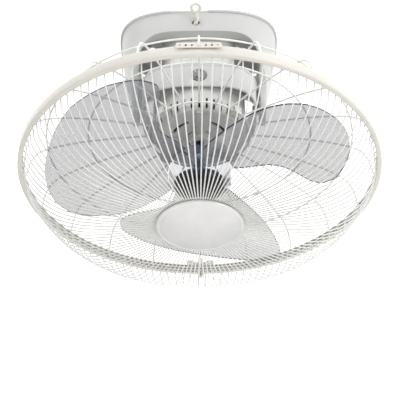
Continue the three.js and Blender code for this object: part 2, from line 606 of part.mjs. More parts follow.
const LATCH = { half: 21, axisY: RIM_RADIUS + 6, axisZ: -RIM_DROP + 9 };
function latchBase() {
  const y = RIM_RADIUS + 0.5;
  const bridge = box(-LATCH.half, LATCH.half, y, y + 3, -RIM_DROP - 3, -RIM_DROP + 3);
  const ear = (x0, x1) => box(x0, x1, y, y + 9, -RIM_DROP - 3, -RIM_DROP + 12);
  const bore = moved(alongX(disc(1.9, -30, 30, 12)), 0, LATCH.axisY, LATCH.axisZ);
  return cut(join(bridge, ear(-LATCH.half, -9.8), ear(9.8, LATCH.half)), bore);
}
function rimLatch() {
  const { axisY: y, axisZ: z } = LATCH;
  const barrel = moved(alongX(disc(3.2, -9.4, 9.4, 16)), 0, y, z);
  const lever = prism(shapeOf([[y - 1.4, z + 10], [y + 1.6, z + 10], [y + 2.4, z - 21], [y - 1, z - 26], [y - 7.5, z - 26],
    [y - 7.5, z - 23.6], [y - 2, z - 23.6], [y - 0.6, z - 21]]), "x", -3.5, 3.5);
  const bore = moved(alongX(disc(1.9, -30, 30, 12)), 0, y, z);
  return cut(join(barrel, lever), bore);
}
const latchPin = () => moved(alongX(disc(1.6, -20, 20, 12)), 0, LATCH.axisY, LATCH.axisZ);

// A block that clamps the rear guard's inner hoop to one of the motor's ears.
function guardClip(quarter) {
  const r = MOTOR_RADIUS;
  const drop = REAR_RING.drop;
  const body = box(r + 0.4, r + 9.5, -6, 6, -drop - 4.5, -drop + 2);
  const hoopWidth = REAR_WIRE + 0.6;
  const groove = box(REAR_RING.inner - hoopWidth, REAR_RING.inner + hoopWidth, -10, 10, -drop - 2.1, -drop + 6);
  return turned(cut(body, groove), REAR_RING.clipBearing + 90 * quarter);
}

// The round badge in the middle of the front guard, with a plain pearly face, and its backing disc.
function badgeCap() {
  const { radius: r, bulge } = BADGE;
  const top = bowl(r) - 1.7 - GAP;
  const face = [[0, top - 2 - bulge], [r * 0.45, top - 2 - bulge * 0.8], [r * 0.8, top - 2 - bulge * 0.36], [r - 2, top - 1.8],
    [r, top - 0.8], [r, top]];
  const under = [[r - 2, top], [r * 0.7, top - 0.4 - bulge * 0.3], [6, top - bulge * 0.6], [6, top + 3], [2.75, top + 3]];
  return revolve([...face, ...under, [2.75, top - 3], [0, top - 3]], 30);
}
function badgeBacking() {
  const low = bowl(BADGE.wireRing) + 2;
  return tube(55.5, 6.6, low, low + 1.8, 32);
}
function badgeScrew() {
  const z = bowl(BADGE.wireRing) + 3.8 + GAP;
  return revolve([[0, z - 8], [2.4, z - 8], [2.4, z], [7.5, z], [7.5, z + 1.5], [5, z + 2.8], [0, z + 2.8]], 12);
}

// ---- assembly -----------------------------------------------------------------------------------
const fan = new THREE.Group();
const add = (name, body, material) => fan.add(meshOf(body, name, material));

add("ceiling_bracket", ceilingBracket(), WHITE);
add("canopy_cover", canopyCover(), IVORY);
add("ceiling_screw_left", screw(-74, -8, -PLATE.thick - GAP, 4, 1.9, 0.2), STEEL);
add("ceiling_screw_right", screw(74, -8, -PLATE.thick - GAP, 4, 1.9, 0.2), STEEL);
add("pivot_pin_left", pivotPin(-1), STEEL);
add("pivot_pin_right", pivotPin(1), STEEL);
add("terminal_block", terminalBlock(), NYLON);
add("run_capacitor", runCapacitor(), BLACK);
add("drive_hood", driveHood(), WHITE);
add("orbit_socket", orbitSocket(), NYLON);
add("safety_cord", safetyCord(), CORD);

add("gimbal_ring", gimbalRing(), IVORY);
add("ring_bush_left", ringBush(-1), NYLON);
add("ring_bush_right", ringBush(1), NYLON);
add("head_pivot_front", headPivot(true), DARK_STEEL);
add("head_pivot_rear", headPivot(false), DARK_STEEL);

add("motor_front_cover", motorFrontCover(), WHITE);
add("motor_rear_cover", motorRearCover(), WHITE);
add("stator_core", statorCore(), LAMINATION);
add("stator_coil_front", coilHead(-168, -160.4), COPPER);
add("stator_coil_rear", coilHead(-135.6, -127), COPPER);
add("bearing_front", bearing(-MOTOR.face - 3.6), BRONZE);
add("bearing_rear", bearing(-MOTOR.top - 17.6), BRONZE);
add("orbit_motor", orbitMotor(), STEEL);
add("crank_disc", crankDisc(), NYLON);
add("crank_ball", crankBall(), STEEL);

add("rotor_core", rotorCore(), LAMINATION);
add("motor_shaft", shaft(), DARK_STEEL);
add("shaft_collar", shaftCollar(), STEEL);
add("blade_set", bladeSet(), SMOKE);
add("spinner_nut", spinnerNut(), NAVY);

add("rear_guard", rearGuard(), WIRE_WHITE);
[1, 2, 3, 4].forEach((quarter) => add("guard_clip_" + quarter, guardClip(quarter - 1), NYLON));
add("front_guard", frontGuard(), WIRE_WHITE);
add("rim_band", rimBand(), IVORY);
add("band_joint", bandJoint(), IVORY);
add("latch_base", latchBase(), IVORY);
add("rim_latch", rimLatch(), IVORY);
add("latch_pin", latchPin(), STEEL);
add("badge_cap", badgeCap(), PEARL);
add("badge_backing", badgeBacking(), STEEL);
add("badge_screw", badgeScrew(), STEEL);

export default fan;
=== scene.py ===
"""Dresses the orbital ceiling fan: canopy, gimbal ring, motor, clear propeller and both wire guards.

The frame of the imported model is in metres, +Z is up and the origin lies on the ceiling. Outlines, profiles
and named sizes are in millimetres, and the helpers that turn them into meshes scale them.
"""
import math

import bmesh
import bpy
from mathutils import Matrix, Vector


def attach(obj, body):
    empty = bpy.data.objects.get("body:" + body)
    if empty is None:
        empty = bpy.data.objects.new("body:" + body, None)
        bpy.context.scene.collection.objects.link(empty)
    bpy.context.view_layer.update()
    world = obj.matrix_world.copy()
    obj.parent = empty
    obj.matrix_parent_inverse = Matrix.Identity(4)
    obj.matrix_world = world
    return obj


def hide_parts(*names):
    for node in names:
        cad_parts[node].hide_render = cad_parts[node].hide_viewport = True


bl_info = {
    "name": "Orbital Ceiling Fan",
    "version": (1, 0, 0),
    "blender": (4, 5, 0),
    "location": "3D View > Sidebar > Ceiling Fan",
    "description": "Models and finishes the parts of an orbital ceiling fan on its packed frame",
    "category": "Object",
}

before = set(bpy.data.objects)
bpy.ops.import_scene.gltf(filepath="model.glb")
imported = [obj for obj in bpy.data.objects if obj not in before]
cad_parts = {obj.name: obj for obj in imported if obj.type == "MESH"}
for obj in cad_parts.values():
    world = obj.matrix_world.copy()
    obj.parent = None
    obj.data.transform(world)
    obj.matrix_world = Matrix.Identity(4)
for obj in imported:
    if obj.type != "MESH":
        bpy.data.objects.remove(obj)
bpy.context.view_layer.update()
MM = 0.001
TURN = 2 * math.pi
GIMBAL_HEIGHT = -118  # of both tilt axes, which cross on the Z axis


# ---- small tools -----------------------------------------------------------------------------------
def deselect():
    if bpy.context.object and bpy.context.object.mode != "OBJECT":
        bpy.ops.object.mode_set(mode="OBJECT")
    bpy.ops.object.select_all(action="DESELECT")


def pick(obj, *others):
    deselect()
    for each in (obj, *others):
        each.select_set(True)
    bpy.context.view_layer.objects.active = obj


def named(name):
    obj = bpy.context.object
    obj.name = name
    obj.data.name = name
    return obj


def smooth(obj, degrees=40):
    pick(obj)
    bpy.ops.object.shade_smooth_by_angle(angle=math.radians(degrees))
    return obj


def tidy(obj, merge=1e-6):
    """Merges doubles and turns every face outwards."""
    pick(obj)
    bpy.ops.object.mode_set(mode="EDIT")
    bpy.ops.mesh.select_all(action="SELECT")
    bpy.ops.mesh.remove_doubles(threshold=merge)
    bpy.ops.mesh.dissolve_degenerate(threshold=merge)
    bpy.ops.mesh.normals_make_consistent(inside=False)
    bpy.ops.object.mode_set(mode="OBJECT")
    return obj


def apply(obj, kind, **settings):
    pick(obj)
    modifier = obj.modifiers.new(kind.title(), kind)
    for key, value in settings.items():
        setattr(modifier, key, value)
    bpy.ops.object.modifier_apply(modifier=modifier.name)
    return obj


def carve(obj, tool, operation="DIFFERENCE"):
    """Cuts, joins or limits a piece with a tool, which is used up."""
    apply(obj, "BOOLEAN", object=tool, operation=operation, solver="EXACT")
    bpy.data.objects.remove(tool)
    return obj


def soften(obj, width):
    """Rounds the edges sharper than 50 degrees."""
    return apply(obj, "BEVEL", width=width * MM, segments=2, limit_method="ANGLE",
                 angle_limit=math.radians(50))


def fuse(name, objects):
    pick(*objects)
    bpy.ops.object.join()
    return named(name)


def placed(obj, matrix):
    obj.data.transform(matrix)
    return obj


def twin(obj):
    """A copy of a piece with its own mesh."""
    copy = obj.copy()
    copy.data = obj.data.copy()
    bpy.context.collection.objects.link(copy)
    return copy


def around(obj, count, first=0.0, skip=()):
    """Repeats a piece round the Z axis from a first bearing in degrees; the original is used up."""
    made = [placed(twin(obj), Matrix.Rotation(math.radians(first) + TURN * i / count, 4, "Z"))
            for i in range(count) if i not in skip]
    bpy.data.objects.remove(obj)
    return made


def outline(name, points, closed=True):
    """A ring of vertices laid on the given points; an open one loses the edge between its two ends."""
    deselect()
    bpy.ops.mesh.primitive_circle_add(vertices=len(points), radius=1, location=(0, 0, 0))
    obj = named(name)
    for vertex, point in zip(obj.data.vertices, points):
        vertex.co = point
    if not closed:
        last = len(points) - 1
        for edge in obj.data.edges:
            edge.select = set(edge.vertices) == {0, last}
        for vertex in obj.data.vertices:
            vertex.select = vertex.index in (0, last)
        bpy.ops.object.mode_set(mode="EDIT")
        bpy.ops.mesh.select_mode(type="EDGE")
        bpy.ops.mesh.delete(type="EDGE")
        bpy.ops.mesh.select_mode(type="VERT")
        bpy.ops.object.mode_set(mode="OBJECT")
    return obj


def lathe(name, profile, steps=96, closed=False):
    """Spins a profile of (radius, height) about the Z axis."""
    obj = outline(name, [(r * MM, 0, z * MM) for r, z in profile], closed)
    pick(obj)
    bpy.ops.object.mode_set(mode="EDIT")
    bpy.ops.mesh.select_all(action="SELECT")
    bpy.ops.mesh.spin(steps=steps, angle=TURN, center=(0, 0, 0), axis=(0, 0, 1))
    bpy.ops.object.mode_set(mode="OBJECT")
    return tidy(obj)


def slab(name, points, axis, low, high):
    """A flat outline pushed along one axis: along X its points are (y, z), along Y (x, z), along Z (x, y)."""
    place = {
        "X": lambda u, v: (low * MM, u * MM, v * MM),
        "Y": lambda u, v: (u * MM, low * MM, v * MM),
        "Z": lambda u, v: (u * MM, v * MM, low * MM),
    }[axis]
    obj = outline(name, [place(u, v) for u, v in points])
    pick(obj)
    bpy.ops.object.mode_set(mode="EDIT")
    bpy.ops.mesh.select_all(action="SELECT")
    bpy.ops.mesh.edge_face_add()
    reach = Vector([(high - low) * MM * (axis == letter) for letter in "XYZ"])
    bpy.ops.mesh.extrude_region_move(TRANSFORM_OT_translate={"value": reach})
    bpy.ops.object.mode_set(mode="OBJECT")
    return tidy(obj)


def box_slab(name, u, v, axis, low, high):
    """A slab whose outline is a rectangle that reaches from the first to the second value of u and of v."""
    corners = [(u[0], v[0]), (u[1], v[0]), (u[1], v[1]), (u[0], v[1])]
    return slab(name, corners, axis, low, high)


def cross_drill(name, radius, depth, centre, vertices):
    """A cutter for a round hole that runs along Y."""
    deselect()
    bpy.ops.mesh.primitive_cylinder_add(vertices=vertices, radius=radius * MM, depth=depth * MM,
                                        location=[c * MM for c in centre], rotation=(math.pi / 2, 0, 0))
    bpy.ops.object.transform_apply(location=True, rotation=True, scale=True)
    return named(name)


def oval_point(t, half_width, half_depth, roundness, z):
    def reach(v, half):
        return half * math.copysign(abs(v) ** (2 / roundness), v)
    return Vector((reach(math.cos(t), half_width), reach(math.sin(t), half_depth), z)) * MM


def oval_body(name, sections, roundness, count=128):
    """A superellipse drawn out downwards through sections of (height, half width, half depth)."""
    z, a, b = sections[0]
    obj = outline(name, [oval_point(TURN * (i + 0.5) / count, a, b, roundness, z) for i in range(count)])
    pick(obj)
    bpy.ops.object.mode_set(mode="EDIT")
    bpy.ops.mesh.select_all(action="SELECT")
    bpy.ops.mesh.edge_face_add()
    for (_, old_a, old_b), (z, a, b) in zip(sections, sections[1:]):
        bpy.ops.mesh.extrude_region_move(TRANSFORM_OT_translate={"value": (0, 0, 1e-4)})
        mesh = bmesh.from_edit_mesh(obj.data)
        for vertex in [v for v in mesh.verts if v.select]:
            x, y = vertex.co.x / (old_a * MM), vertex.co.y / (old_b * MM)
            vertex.co = (x * a * MM, y * b * MM, z * MM)
        bmesh.update_edit_mesh(obj.data)
    bpy.ops.object.mode_set(mode="OBJECT")
    return tidy(obj)


def rod(name, points, radius, resolution=2, cyclic=False):
    """A round bar along points, made as a bevelled curve and turned into a mesh."""
    deselect()
    bpy.ops.curve.primitive_nurbs_path_add(location=(0, 0, 0))
    obj = named(name)
    curve = obj.data
    curve.splines.clear()
    spline = curve.splines.new("POLY")
    spline.points.add(len(points) - 1)
    for target, point in zip(spline.points, points):
        target.co = (*(Vector(point) * MM), 1)
    spline.use_cyclic_u = cyclic
    curve.bevel_depth = radius * MM
    curve.bevel_resolution = resolution
    curve.use_fill_caps = True
    bpy.ops.object.convert(target="MESH")
    return tidy(bpy.context.object)


def hoop(name, radius, z, wire, steps=160):
    turns = [TURN * i / steps for i in range(steps)]
    return rod(name, [(radius * math.cos(t), radius * math.sin(t), z) for t in turns], wire, cyclic=True)


def spline_through(points, per_leg):
    """A smooth path through points (Catmull-Rom), in the points' own units."""
    pts = [Vector(p) for p in points]
    ends = [pts[0] * 2 - pts[1], *pts, pts[-1] * 2 - pts[-2]]
    out = []
    for i in range(1, len(ends) - 2):
        a, b, c, d = ends[i - 1:i + 3]
        for k in range(per_leg):
            t = k / per_leg
            out.append(0.5 * ((2 * b) + (c - a) * t + (2 * a - 5 * b + 4 * c - d) * t ** 2
                              + (3 * b - a - 3 * c + d) * t ** 3))
    return out + [pts[-1]]


def bezier(a, b, c, d, count=14):
    out = []
    for i in range(count + 1):
        t = i / count
        out.append(tuple((1 - t) ** 3 * p + 3 * t * (1 - t) ** 2 * q + 3 * t * t * (1 - t) * r + t ** 3 * s
                         for p, q, r, s in zip(a, b, c, d)))
    return out


def along(stations, r):
    """The value at r between stations of (r, value), straight from one station to the next."""
    r = min(max(r, stations[0][0]), stations[-1][0])
    for (r0, v0), (r1, v1) in zip(stations, stations[1:]):
        if r <= r1:
            t = (r - r0) / (r1 - r0)
            return v0 + (v1 - v0) * t
    return stations[-1][1]


# ---- finishes --------------------------------------------------------------------------------------
def new_finish(name):
    material = bpy.data.materials.new(name)
    material.use_nodes = True
    tree = material.node_tree
    return material, tree, tree.nodes["Principled BSDF"]


def set_inputs(node, **values):
    """Sets a node's inputs; an underscore in a name stands for a space."""
    for name, value in values.items():
        node.inputs[name.replace("_", " ")].default_value = value
    return node


def noise_of(tree, vector, scale, detail=2.0):
    noise = set_inputs(tree.nodes.new("ShaderNodeTexNoise"), Scale=scale, Detail=detail)
    tree.links.new(vector, noise.inputs["Vector"])
    return noise.outputs["Fac"]


def mottled_colour(tree, shader, colour, second, scale):
    """Lets the base colour drift slowly between two tones, and returns the piece's own coordinates."""
    place = tree.nodes.new("ShaderNodeTexCoord").outputs["Object"]
    ramp = tree.nodes.new("ShaderNodeValToRGB")
    for stop, position, tone in zip(ramp.color_ramp.elements, (0.35, 0.65), (second, colour)):
        stop.position = position
        stop.color = (*tone, 1)
    tree.links.new(noise_of(tree, place, scale, 3), ramp.inputs["Fac"])
    tree.links.new(ramp.outputs["Color"], shader.inputs["Base Color"])
    return place


def bump_from(tree, shader, height, strength, distance):
    bump = set_inputs(tree.nodes.new("ShaderNodeBump"), Strength=strength, Distance=distance)
    tree.links.new(height, bump.inputs["Height"])
    tree.links.new(bump.outputs["Normal"], shader.inputs["Normal"])


def uneven_gloss(tree, shader, place, scale, low, high):
    span = set_inputs(tree.nodes.new("ShaderNodeMapRange"), To_Min=low, To_Max=high)
    tree.links.new(noise_of(tree, place, scale), span.inputs["Value"])
    tree.links.new(span.outputs["Result"], shader.inputs["Roughness"])


def moulded(name, colour, second, gloss=(0.28, 0.4), relief=0.05):
    """Injection-moulded plastic: faint tone drift, fine grain and a satin gloss."""
    material, tree, shader = new_finish(name)
    place = mottled_colour(tree, shader, colour, second, 18)
    bump_from(tree, shader, noise_of(tree, place, 900, 4), relief, 0.0002)
    uneven_gloss(tree, shader, place, 60, *gloss)
    set_inputs(shader, IOR=1.48)
    return material


def coated(name, colour, second, gloss=(0.22, 0.34)):
    """Powder coat on steel or wire: slight orange peel under a glossy skin."""
    material, tree, shader = new_finish(name)
    place = mottled_colour(tree, shader, colour, second, 30)
    bump_from(tree, shader, noise_of(tree, place, 420, 4), 0.12, 0.0001)
    uneven_gloss(tree, shader, place, 90, *gloss)
    set_inputs(shader, Coat_Weight=0.25, Coat_Roughness=0.12)
    return material


def metal(name, colour, second, gloss=(0.25, 0.45)):
    """Plated or ground metal with tool marks drawn out along one direction."""
    material, tree, shader = new_finish(name)
    place = mottled_colour(tree, shader, colour, second, 60)
    mapping = set_inputs(tree.nodes.new("ShaderNodeMapping"), Scale=(1, 1, 8))
    tree.links.new(place, mapping.inputs["Vector"])
    bump_from(tree, shader, noise_of(tree, mapping.outputs["Vector"], 380), 0.1, 0.0001)
    uneven_gloss(tree, shader, place, 120, *gloss)
    set_inputs(shader, Metallic=1.0)
    return material


def clear_tint(name, colour, second, alpha, roughness):
    """Tinted clear plastic: part of the light goes straight through, the skin stays glossy."""
    material, tree, shader = new_finish(name)
    place = mottled_colour(tree, shader, colour, second, 9)
    uneven_gloss(tree, shader, place, 9, roughness, roughness + 0.08)
    set_inputs(shader, Alpha=alpha, IOR=1.49)
    return material


def pearl(name, colour, second):
    """Pearly lacquer: a fine sparkle under a thick clear coat."""
    material, tree, shader = new_finish(name)
    place = mottled_colour(tree, shader, colour, second, 40)
    bump_from(tree, shader, noise_of(tree, place, 2400, 4), 0.06, 0.00005)
    set_inputs(shader, Roughness=0.3, Metallic=0.12, Coat_Weight=0.5, Coat_Roughness=0.08)
    return material


def twisted_sleeve(name, colour, second):
    """Spun sleeve of a cord: fine slanting ridges along the strand."""
    material, tree, shader = new_finish(name)
    place = mottled_colour(tree, shader, colour, second, 220)
    ridges = set_inputs(tree.nodes.new("ShaderNodeTexWave"), Scale=260, Distortion=1.5)
    ridges.bands_direction = "DIAGONAL"
    tree.links.new(place, ridges.inputs["Vector"])
    bump_from(tree, shader, ridges.outputs["Fac"], 0.5, 0.0003)
    set_inputs(shader, Roughness=0.6)
    return material


FINISHES = {}


def shade(colour, factor):
    return tuple(min(1, v * factor) for v in colour)


def make_finishes(colours):
    ivory, canopy, white = tuple(colours.ivory), tuple(colours.canopy), tuple(colours.white)
    wire, smoke = tuple(colours.wire), tuple(colours.smoke)
    FINISHES.update(
        # the shell, the motor and the guards
        ivory=moulded("Ivory moulding", ivory, shade(ivory, 0.95)),
        canopy=moulded("Canopy moulding", canopy, shade(canopy, 0.95), (0.3, 0.42)),
        housing=coated("Motor housing enamel", shade(white, 0.98), shade(white, 0.92)),
        bracket=coated("Bracket enamel", (0.78, 0.78, 0.765), (0.7, 0.7, 0.685), (0.35, 0.5)),
        wire_white=coated("White wire coat", wire, shade(wire, 0.94)),
        # painted light: the rear guard's wires have the same white coat as the front's, painted 18 per cent
        # lighter to lift them out of the shade they stand in
        wire_heavy=coated("Rear wire coat brightened against shade", shade(wire, 1.18), shade(wire, 1.1)),
        pearl=pearl("Pearl badge", (0.69, 0.69, 0.70), (0.64, 0.64, 0.655)),
        pearl_rim=pearl("Badge rim", (0.72, 0.72, 0.72), (0.66, 0.66, 0.66)),
        cord=twisted_sleeve("Cord insulation", (0.84, 0.83, 0.77), (0.72, 0.71, 0.64)),
        # the propeller
        smoke=clear_tint("Smoky clear blade", smoke, shade(smoke, 0.95), colours.blade_density, 0.1),
        blade_edge=clear_tint("Blade edge", (0.010, 0.016, 0.055), (0.007, 0.011, 0.04), 1.0, 0.3),
        hub=clear_tint("Clear hub", (0.075, 0.115, 0.18), (0.05, 0.08, 0.14), 0.3, 0.08),
        spinner=moulded("Spinner", (0.007, 0.008, 0.011), (0.005, 0.006, 0.008), (0.25, 0.35), 0.02),
        spinner_rim=moulded("Spinner rim", (0.05, 0.09, 0.2), (0.035, 0.065, 0.16), (0.15, 0.25), 0.02),
        shaft=metal("Blued shaft", (0.03, 0.037, 0.08), (0.02, 0.024, 0.055), (0.2, 0.35)),
        # fittings and the insides
        steel=metal("Plated steel", (0.62, 0.62, 0.63), (0.5, 0.5, 0.52)),
        dark_steel=metal("Dark steel", (0.33, 0.33, 0.34), (0.22, 0.22, 0.225), (0.3, 0.45)),
        bronze=metal("Bronze bush", (0.42, 0.28, 0.12), (0.34, 0.21, 0.08)),
        nylon=moulded("Natural nylon", (0.68, 0.66, 0.6), (0.62, 0.6, 0.54), (0.4, 0.5)),
        black=moulded("Black casing", (0.02, 0.02, 0.022), (0.014, 0.014, 0.016), (0.45, 0.6)),
        # painted shade: the laminations are painted near black and matt, standing in for the shade inside the
        # housing that the face slots look into
        lamination=moulded("Laminations painted dark as shade", (0.03, 0.03, 0.033), (0.018, 0.018, 0.02), (0.6, 0.8)),
        # painted shade: the copper windings are painted a near-black brown, standing in for the shade inside
        # the housing seen through the face slots
        copper=moulded("Winding painted dark as shade", (0.075, 0.032, 0.014), (0.045, 0.018, 0.008), (0.35, 0.5)),
    )


def dress(obj, *finishes):
    obj.data.materials.clear()
    for finish in finishes:
        obj.data.materials.append(FINISHES[finish])
    return obj


def fit(obj, name, body, nodes, finish=None):
    """Names a finished piece and gives it its body, the solids it stands for and its finish."""
    obj.name = name
    if finish:
        dress(obj, finish)
    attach(obj, body)
    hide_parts(*nodes)
    return obj


# ---- sizes and colours that a user may change ------------------------------------------------------
class FanSizes(bpy.types.PropertyGroup):
    """Numbers of the repeated pieces, and sizes in millimetres"""

    front_wires: bpy.props.IntProperty(
        name="Front wires", description="Number of radial wires in the front guard", default=124)
    rear_wires: bpy.props.IntProperty(
        name="Rear wires", description="Number of radial wires in the rear guard", default=20)
    front_wire: bpy.props.FloatProperty(
        name="Front wire radius", description="Half the thickness of a front wire", default=0.85)
    rear_wire: bpy.props.FloatProperty(
        name="Rear wire radius", description="Half the thickness of a rear wire", default=1.25)
    vents: bpy.props.IntProperty(
        name="Motor vents", description="Upright vents round the motor, those left out at its ears included",
        default=40)
    blade: bpy.props.FloatProperty(
        name="Blade thickness", description="Thickness of a blade", default=1.8)


class FanColours(bpy.types.PropertyGroup):
    """Colours of the main finishes"""

    ivory: bpy.props.FloatVectorProperty(
        name="Ivory", description="Rim band, its joint and its latch", subtype="COLOR",
        default=(0.68, 0.665, 0.615))
    canopy: bpy.props.FloatVectorProperty(
        name="Canopy", description="Canopy cover and gimbal ring", subtype="COLOR",
        default=(0.60, 0.60, 0.595))
    white: bpy.props.FloatVectorProperty(
        name="White", description="Motor housing", subtype="COLOR", default=(0.61, 0.61, 0.60))
    wire: bpy.props.FloatVectorProperty(
        name="Wire", description="Wires of both guards", subtype="COLOR", default=(0.73, 0.73, 0.715))
    smoke: bpy.props.FloatVectorProperty(
        name="Blade tint", description="Tint of the clear blades", subtype="COLOR",
        default=(0.30, 0.31, 0.335))
    blade_density: bpy.props.FloatProperty(
        name="Blade density", description="How much of the light a blade stops", default=0.47,
        min=0, max=1, subtype="FACTOR")


def sizes():
    return bpy.context.scene.fan_sizes


# ---- the stage -------------------------------------------------------------------------------------
CAMERA = {"place": (0.0, -1.0178, -1.0014), "aim": (0.00014, 0.0, -0.2749), "roll": -0.395, "lens": 85.84}
LIGHTS = [  # name, place, aim, size, power, tint
    ("Window", (1.9, -1.5, -1.0), (0, 0, -0.2), 1.5, 20, (1, 1, 0.99)),
    ("Room", (-1.8, -1.2, -1.3), (0, 0, -0.25), 2.0, 2.5, (1, 0.98, 0.95)),
    ("Bounce", (0.2, 0.4, -1.9), (0, 0, -0.2), 2.4, 7.5, (1, 1, 1)),
]
SHEET_SIZE = 9
CEILING_HEIGHT = 0.002
FLOOR_HEIGHT = -2.1


def look(place, aim):
    return (Vector(aim) - Vector(place)).to_track_quat("-Z", "Y")


def add_camera(context):
    camera = bpy.data.objects.new("Camera", bpy.data.cameras.new("Camera"))
    context.collection.objects.link(camera)
    roll = Matrix.Rotation(math.radians(CAMERA["roll"]), 3, "Z")
    camera.location = CAMERA["place"]
    camera.rotation_euler = (look(CAMERA["place"], CAMERA["aim"]).to_matrix() @ roll).to_euler()
    camera.data.lens = CAMERA["lens"]
    camera.data.sensor_width = 36
    context.scene.camera = camera


def add_light(context, name, place, aim, size, power, tint):
    light = bpy.data.lights.new(name, "AREA")
    light.shape = "DISK"
    light.size = size
    light.energy = power
    light.color = tint
    lamp = bpy.data.objects.new(name, light)
    context.collection.objects.link(lamp)
    lamp.location = place
    lamp.rotation_euler = look(place, aim).to_euler()


def add_sheet(name, height, material):
    deselect()
    bpy.ops.mesh.primitive_grid_add(x_subdivisions=8, y_subdivisions=8, size=SHEET_SIZE,
                                    location=(0, 0, height))
    sheet = named(name)
    sheet.data.materials.append(material)
    return sheet


def ceiling_paint():
    """Bright matt paint that glows softly, and lets a view from above through its back."""
    material, tree, shader = new_finish("Ceiling paint")
    set_inputs(shader, Base_Color=(0.9, 0.9, 0.9, 1), Roughness=0.9, Emission_Color=(1, 1, 1, 1),
               Emission_Strength=0.66)
    side = tree.nodes.new("ShaderNodeNewGeometry")
    clear = tree.nodes.new("ShaderNodeBsdfTransparent")
    mix = tree.nodes.new("ShaderNodeMixShader")
    tree.links.new(side.outputs["Backfacing"], mix.inputs[0])
    tree.links.new(shader.outputs[0], mix.inputs[1])
    tree.links.new(clear.outputs[0], mix.inputs[2])
    tree.links.new(mix.outputs[0], tree.nodes["Material Output"].inputs["Surface"])
    return material


def floor_paint():
    material, _, shader = new_finish("Floor paint")
    set_inputs(shader, Base_Color=(0.74, 0.73, 0.71, 1), Roughness=0.8)
    return material


class FAN_OT_stage(bpy.types.Operator):
    """Adds the camera, the soft light, the ceiling sheet and the floor"""

    bl_idname = "fan.stage"
    bl_label = "Camera, light and stage"

    def execute(self, context):
        add_camera(context)
        context.scene.view_settings.view_transform = "Standard"
        add_sheet("ceiling_sheet", CEILING_HEIGHT, ceiling_paint()).data.flip_normals()
        add_sheet("floor_sheet", FLOOR_HEIGHT, floor_paint())
        for light in LIGHTS:
            add_light(context, *light)
        world = bpy.data.worlds.new("Room light")
        world.use_nodes = True
        set_inputs(world.node_tree.nodes["Background"], Color=(0.93, 0.94, 0.95, 1), Strength=0.55)
        context.scene.world = world
        return {"FINISHED"}


# ---- cord ------------------------------------------------------------------------------------------
CORD_RADIUS = 2.3
CORD_TWIST = 2.15  # how far each strand runs from the middle between them
CORD_EYE = [(5, 3), (6.1, 6.4), (4.6, 9.8), (0, 11.6), (-4.6, 9.8), (-6.1, 6.4), (-5, 3)]
CORD_HOLE = (-4, -75, -23.2)


def cord_route():
    """Two strands twisted once round each other out of the canopy's wall, joined by an eye in front."""
    start, neck = Vector((-4, -71, -24.8)), Vector((-4, -87.5, -15.2))
    forward = (neck - start).normalized()
    side = Vector((1, 0, 0))
    normal = forward.cross(side)

    def strand(t, phase):
        angle = phase + TURN * t
        return start.lerp(neck, t) + (side * math.cos(angle) + normal * math.sin(angle)) * CORD_TWIST
    out = [strand(i / 8, 0) for i in range(9)]
    loop = [neck + side * w + forward * f for w, f in CORD_EYE]
    back = [strand(i / 8, math.pi) for i in range(8, -1, -1)]
    return out + loop + back


class FAN_OT_cord(bpy.types.Operator):
    """Models the loop of cord that comes out of the canopy's front wall"""

    bl_idname = "fan.cord"
    bl_label = "Cord loop"

    def execute(self, context):
        path = spline_through(cord_route(), 5)
        piece = fit(smooth(rod("cord_loop", path, CORD_RADIUS, 3), 60), "cord_loop", "base", ["safety_cord"],
                    "cord")
        return {"FINISHED"}


# ---- canopy ----------------------------------------------------------------------------------------
CANOPY_ROUNDNESS = 3
CANOPY_WALL = 2.5
CANOPY_SECTIONS = [(0, 112.5, 75.5), (-30, 110.5, 74.5), (-60, 106, 72), (-86, 99, 68), (-118, 94.5, 62),
                   (-144, 92, 58)]
CHEEK_HALF = 84
CHEEK_EYE = 24
CUTTER_LOW = -150  # cutters end below the cheeks
ARCH_HALF = 84.8
ARCH_LIP = 2
HOOD_ROUNDNESS = 3.4


def canopy_sections(inset, low):
    """The canopy's sections, narrowed by an inset and drawn out to a height."""
    made = [(p.x, p.y - inset, p.z - inset) for p in spline_through(CANOPY_SECTIONS, 3)]
    made[0] = (1.0 if inset else 0.0, *made[0][1:])
    return made[:-1] + [(low, *made[-1][1:])]


def cheek_outline(inset):
    """The canopy seen from its side: wide on the ceiling, drawn in to a round eye at the pivots."""
    top, eye = CHEEK_HALF - inset, CHEEK_EYE - inset
    left = bezier((-top, -34), (-top, -72), (-eye, -78), (-eye, GIMBAL_HEIGHT))
    turns = [math.pi + math.pi * i / 24 for i in range(1, 24)]
    bottom = [(eye * math.cos(t), GIMBAL_HEIGHT + eye * math.sin(t)) for t in turns]
    right = [(-y, z) for y, z in reversed(left)]
    return [(-top, 2 + inset), *left, *bottom, *right, (top, 2 + inset)]


def arch_curve(rise=0.0):
    """The arch's upper edge from cheek to cheek, raised by a few millimetres if asked."""
    k = ARCH_HALF
    left = bezier((-k, -72 + rise), (-k + 6, -44 + rise), (-68, -38 + rise), (-42, -38 + rise))
    return left + [(-x, z) for x, z in reversed(left)]


def arch_return(front, back):
    """The strip that the canopy's wall turns in along the arch's edge, between two depths."""
    edge = arch_curve() + list(reversed(arch_curve(ARCH_LIP)))[1:-1]
    limit = oval_body("return_limit", canopy_sections(0.6, CUTTER_LOW), CANOPY_ROUNDNESS)
    return carve(slab("arch_return", edge, "Y", front, back), limit, "INTERSECT")


